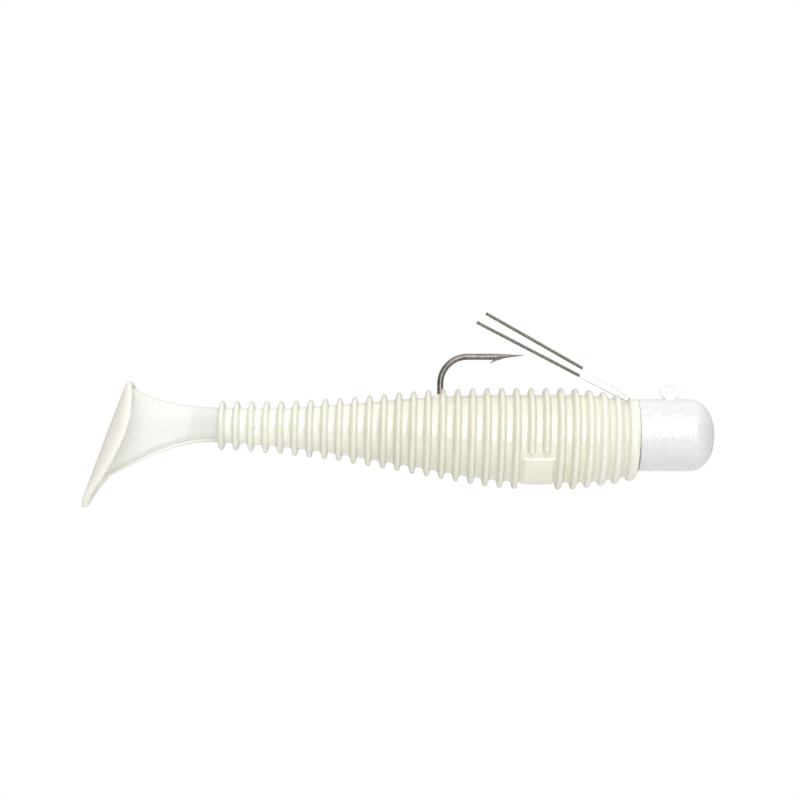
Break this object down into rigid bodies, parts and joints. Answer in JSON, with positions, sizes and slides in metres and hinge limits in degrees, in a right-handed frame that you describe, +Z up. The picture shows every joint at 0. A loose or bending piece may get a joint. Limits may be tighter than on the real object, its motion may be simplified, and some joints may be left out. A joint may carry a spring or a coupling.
{
  "type": "swimbait",
  "caption": "Ribbed soft plastic paddle-tail bait on a round-nosed jig head, with an upturned barbed hook, a springy wire weed guard and a line-tie eye on top.",
  "frame": {"origin": "centre of the line-tie eye on top of the jig head", "axes": "+X towards the nose, +Y to the bait's left along the eye's bore, +Z up, to the side the hook point is on"},
  "size_m": [0.1014, 0.0164, 0.0315],
  "materials": {
    "head_paint": "satin",
    "hook_steel": "polished",
    "guard_cable": "satin",
    "pearl_plastic": "gloss",
    "tail_plastic": "gloss"
  },
  "bodies": {
    "rig": {"jig_head": "head_paint", "hook": "hook_steel", "guard_wire_right_root": "guard_cable", "guard_wire_left_root": "guard_cable", "body_front": "pearl_plastic"},
    "rear_1": {"body_section_1": "pearl_plastic"},
    "rear_2": {"body_section_2": "pearl_plastic"},
    "rear_3": {"body_section_3": "pearl_plastic"},
    "rear_4": {"body_section_4": "pearl_plastic"},
    "rear_5": {"body_section_5": "pearl_plastic"},
    "stem": {"tail_stem": "tail_plastic"},
    "paddle": {"tail_paddle": "tail_plastic"},
    "right_guard": {"guard_wire_right": "guard_cable"},
    "left_guard": {"guard_wire_left": "guard_cable"}
  },
  "joints": [
    {"name": "body_lift", "type": "hinge", "parent": "rig", "child": "rear_1", "pos_m": [-0.04, 0, -0.00685], "axis": [0, 1, 0], "range_deg": [-10, 10], "stiffness_Nm_per_rad": 0.03},
    {"name": "body_sway_1", "type": "hinge", "parent": "rear_1", "child": "rear_2", "pos_m": [-0.04468, 0, -0.00668], "axis": [0.0358, 0, 0.9994], "range_deg": [-10, 10], "stiffness_Nm_per_rad": 0.0245},
    {"name": "body_sway_2", "type": "hinge", "parent": "rear_2", "child": "rear_3", "pos_m": [-0.05172, 0, -0.00643], "axis": [0.0358, 0, 0.9994], "range_deg": [-13, 13], "stiffness_Nm_per_rad": 0.0105},
    {"name": "body_sway_3", "type": "hinge", "parent": "rear_3", "child": "rear_4", "pos_m": [-0.05875, 0, -0.00618], "axis": [0.0358, 0, 0.9994], "range_deg": [-15, 15], "stiffness_Nm_per_rad": 0.0045},
    {"name": "body_sway_4", "type": "hinge", "parent": "rear_4", "child": "rear_5", "pos_m": [-0.06578, 0, -0.00593], "axis": [0.0358, 0, 0.9994], "range_deg": [-17, 17], "stiffness_Nm_per_rad": 0.0023},
    {"name": "stem_sway", "type": "hinge", "parent": "rear_5", "child": "stem", "pos_m": [-0.0732, 0, -0.00566], "axis": [0, 0, 1], "range_deg": [-30, 30], "stiffness_Nm_per_rad": 0.0015},
    {"name": "paddle_sway", "type": "hinge", "parent": "stem", "child": "paddle", "pos_m": [-0.083, 0, -0.00531], "axis": [0, 0, 1], "range_deg": [-30, 30], "stiffness_Nm_per_rad": 0.0006},
    {"name": "right_guard_flex", "type": "hinge", "parent": "rig", "child": "right_guard", "pos_m": [-0.00907, -0.00123, 0.0007], "axis": [0, 1, 0], "range_deg": [-20, 10], "stiffness_Nm_per_rad": 0.0005},
    {"name": "left_guard_flex", "type": "hinge", "parent": "rig", "child": "left_guard", "pos_m": [-0.00907, 0.00123, -0.00036], "axis": [0, 1, 0], "range_deg": [-13, 10], "stiffness_Nm_per_rad": 0.0005}
  ]
}
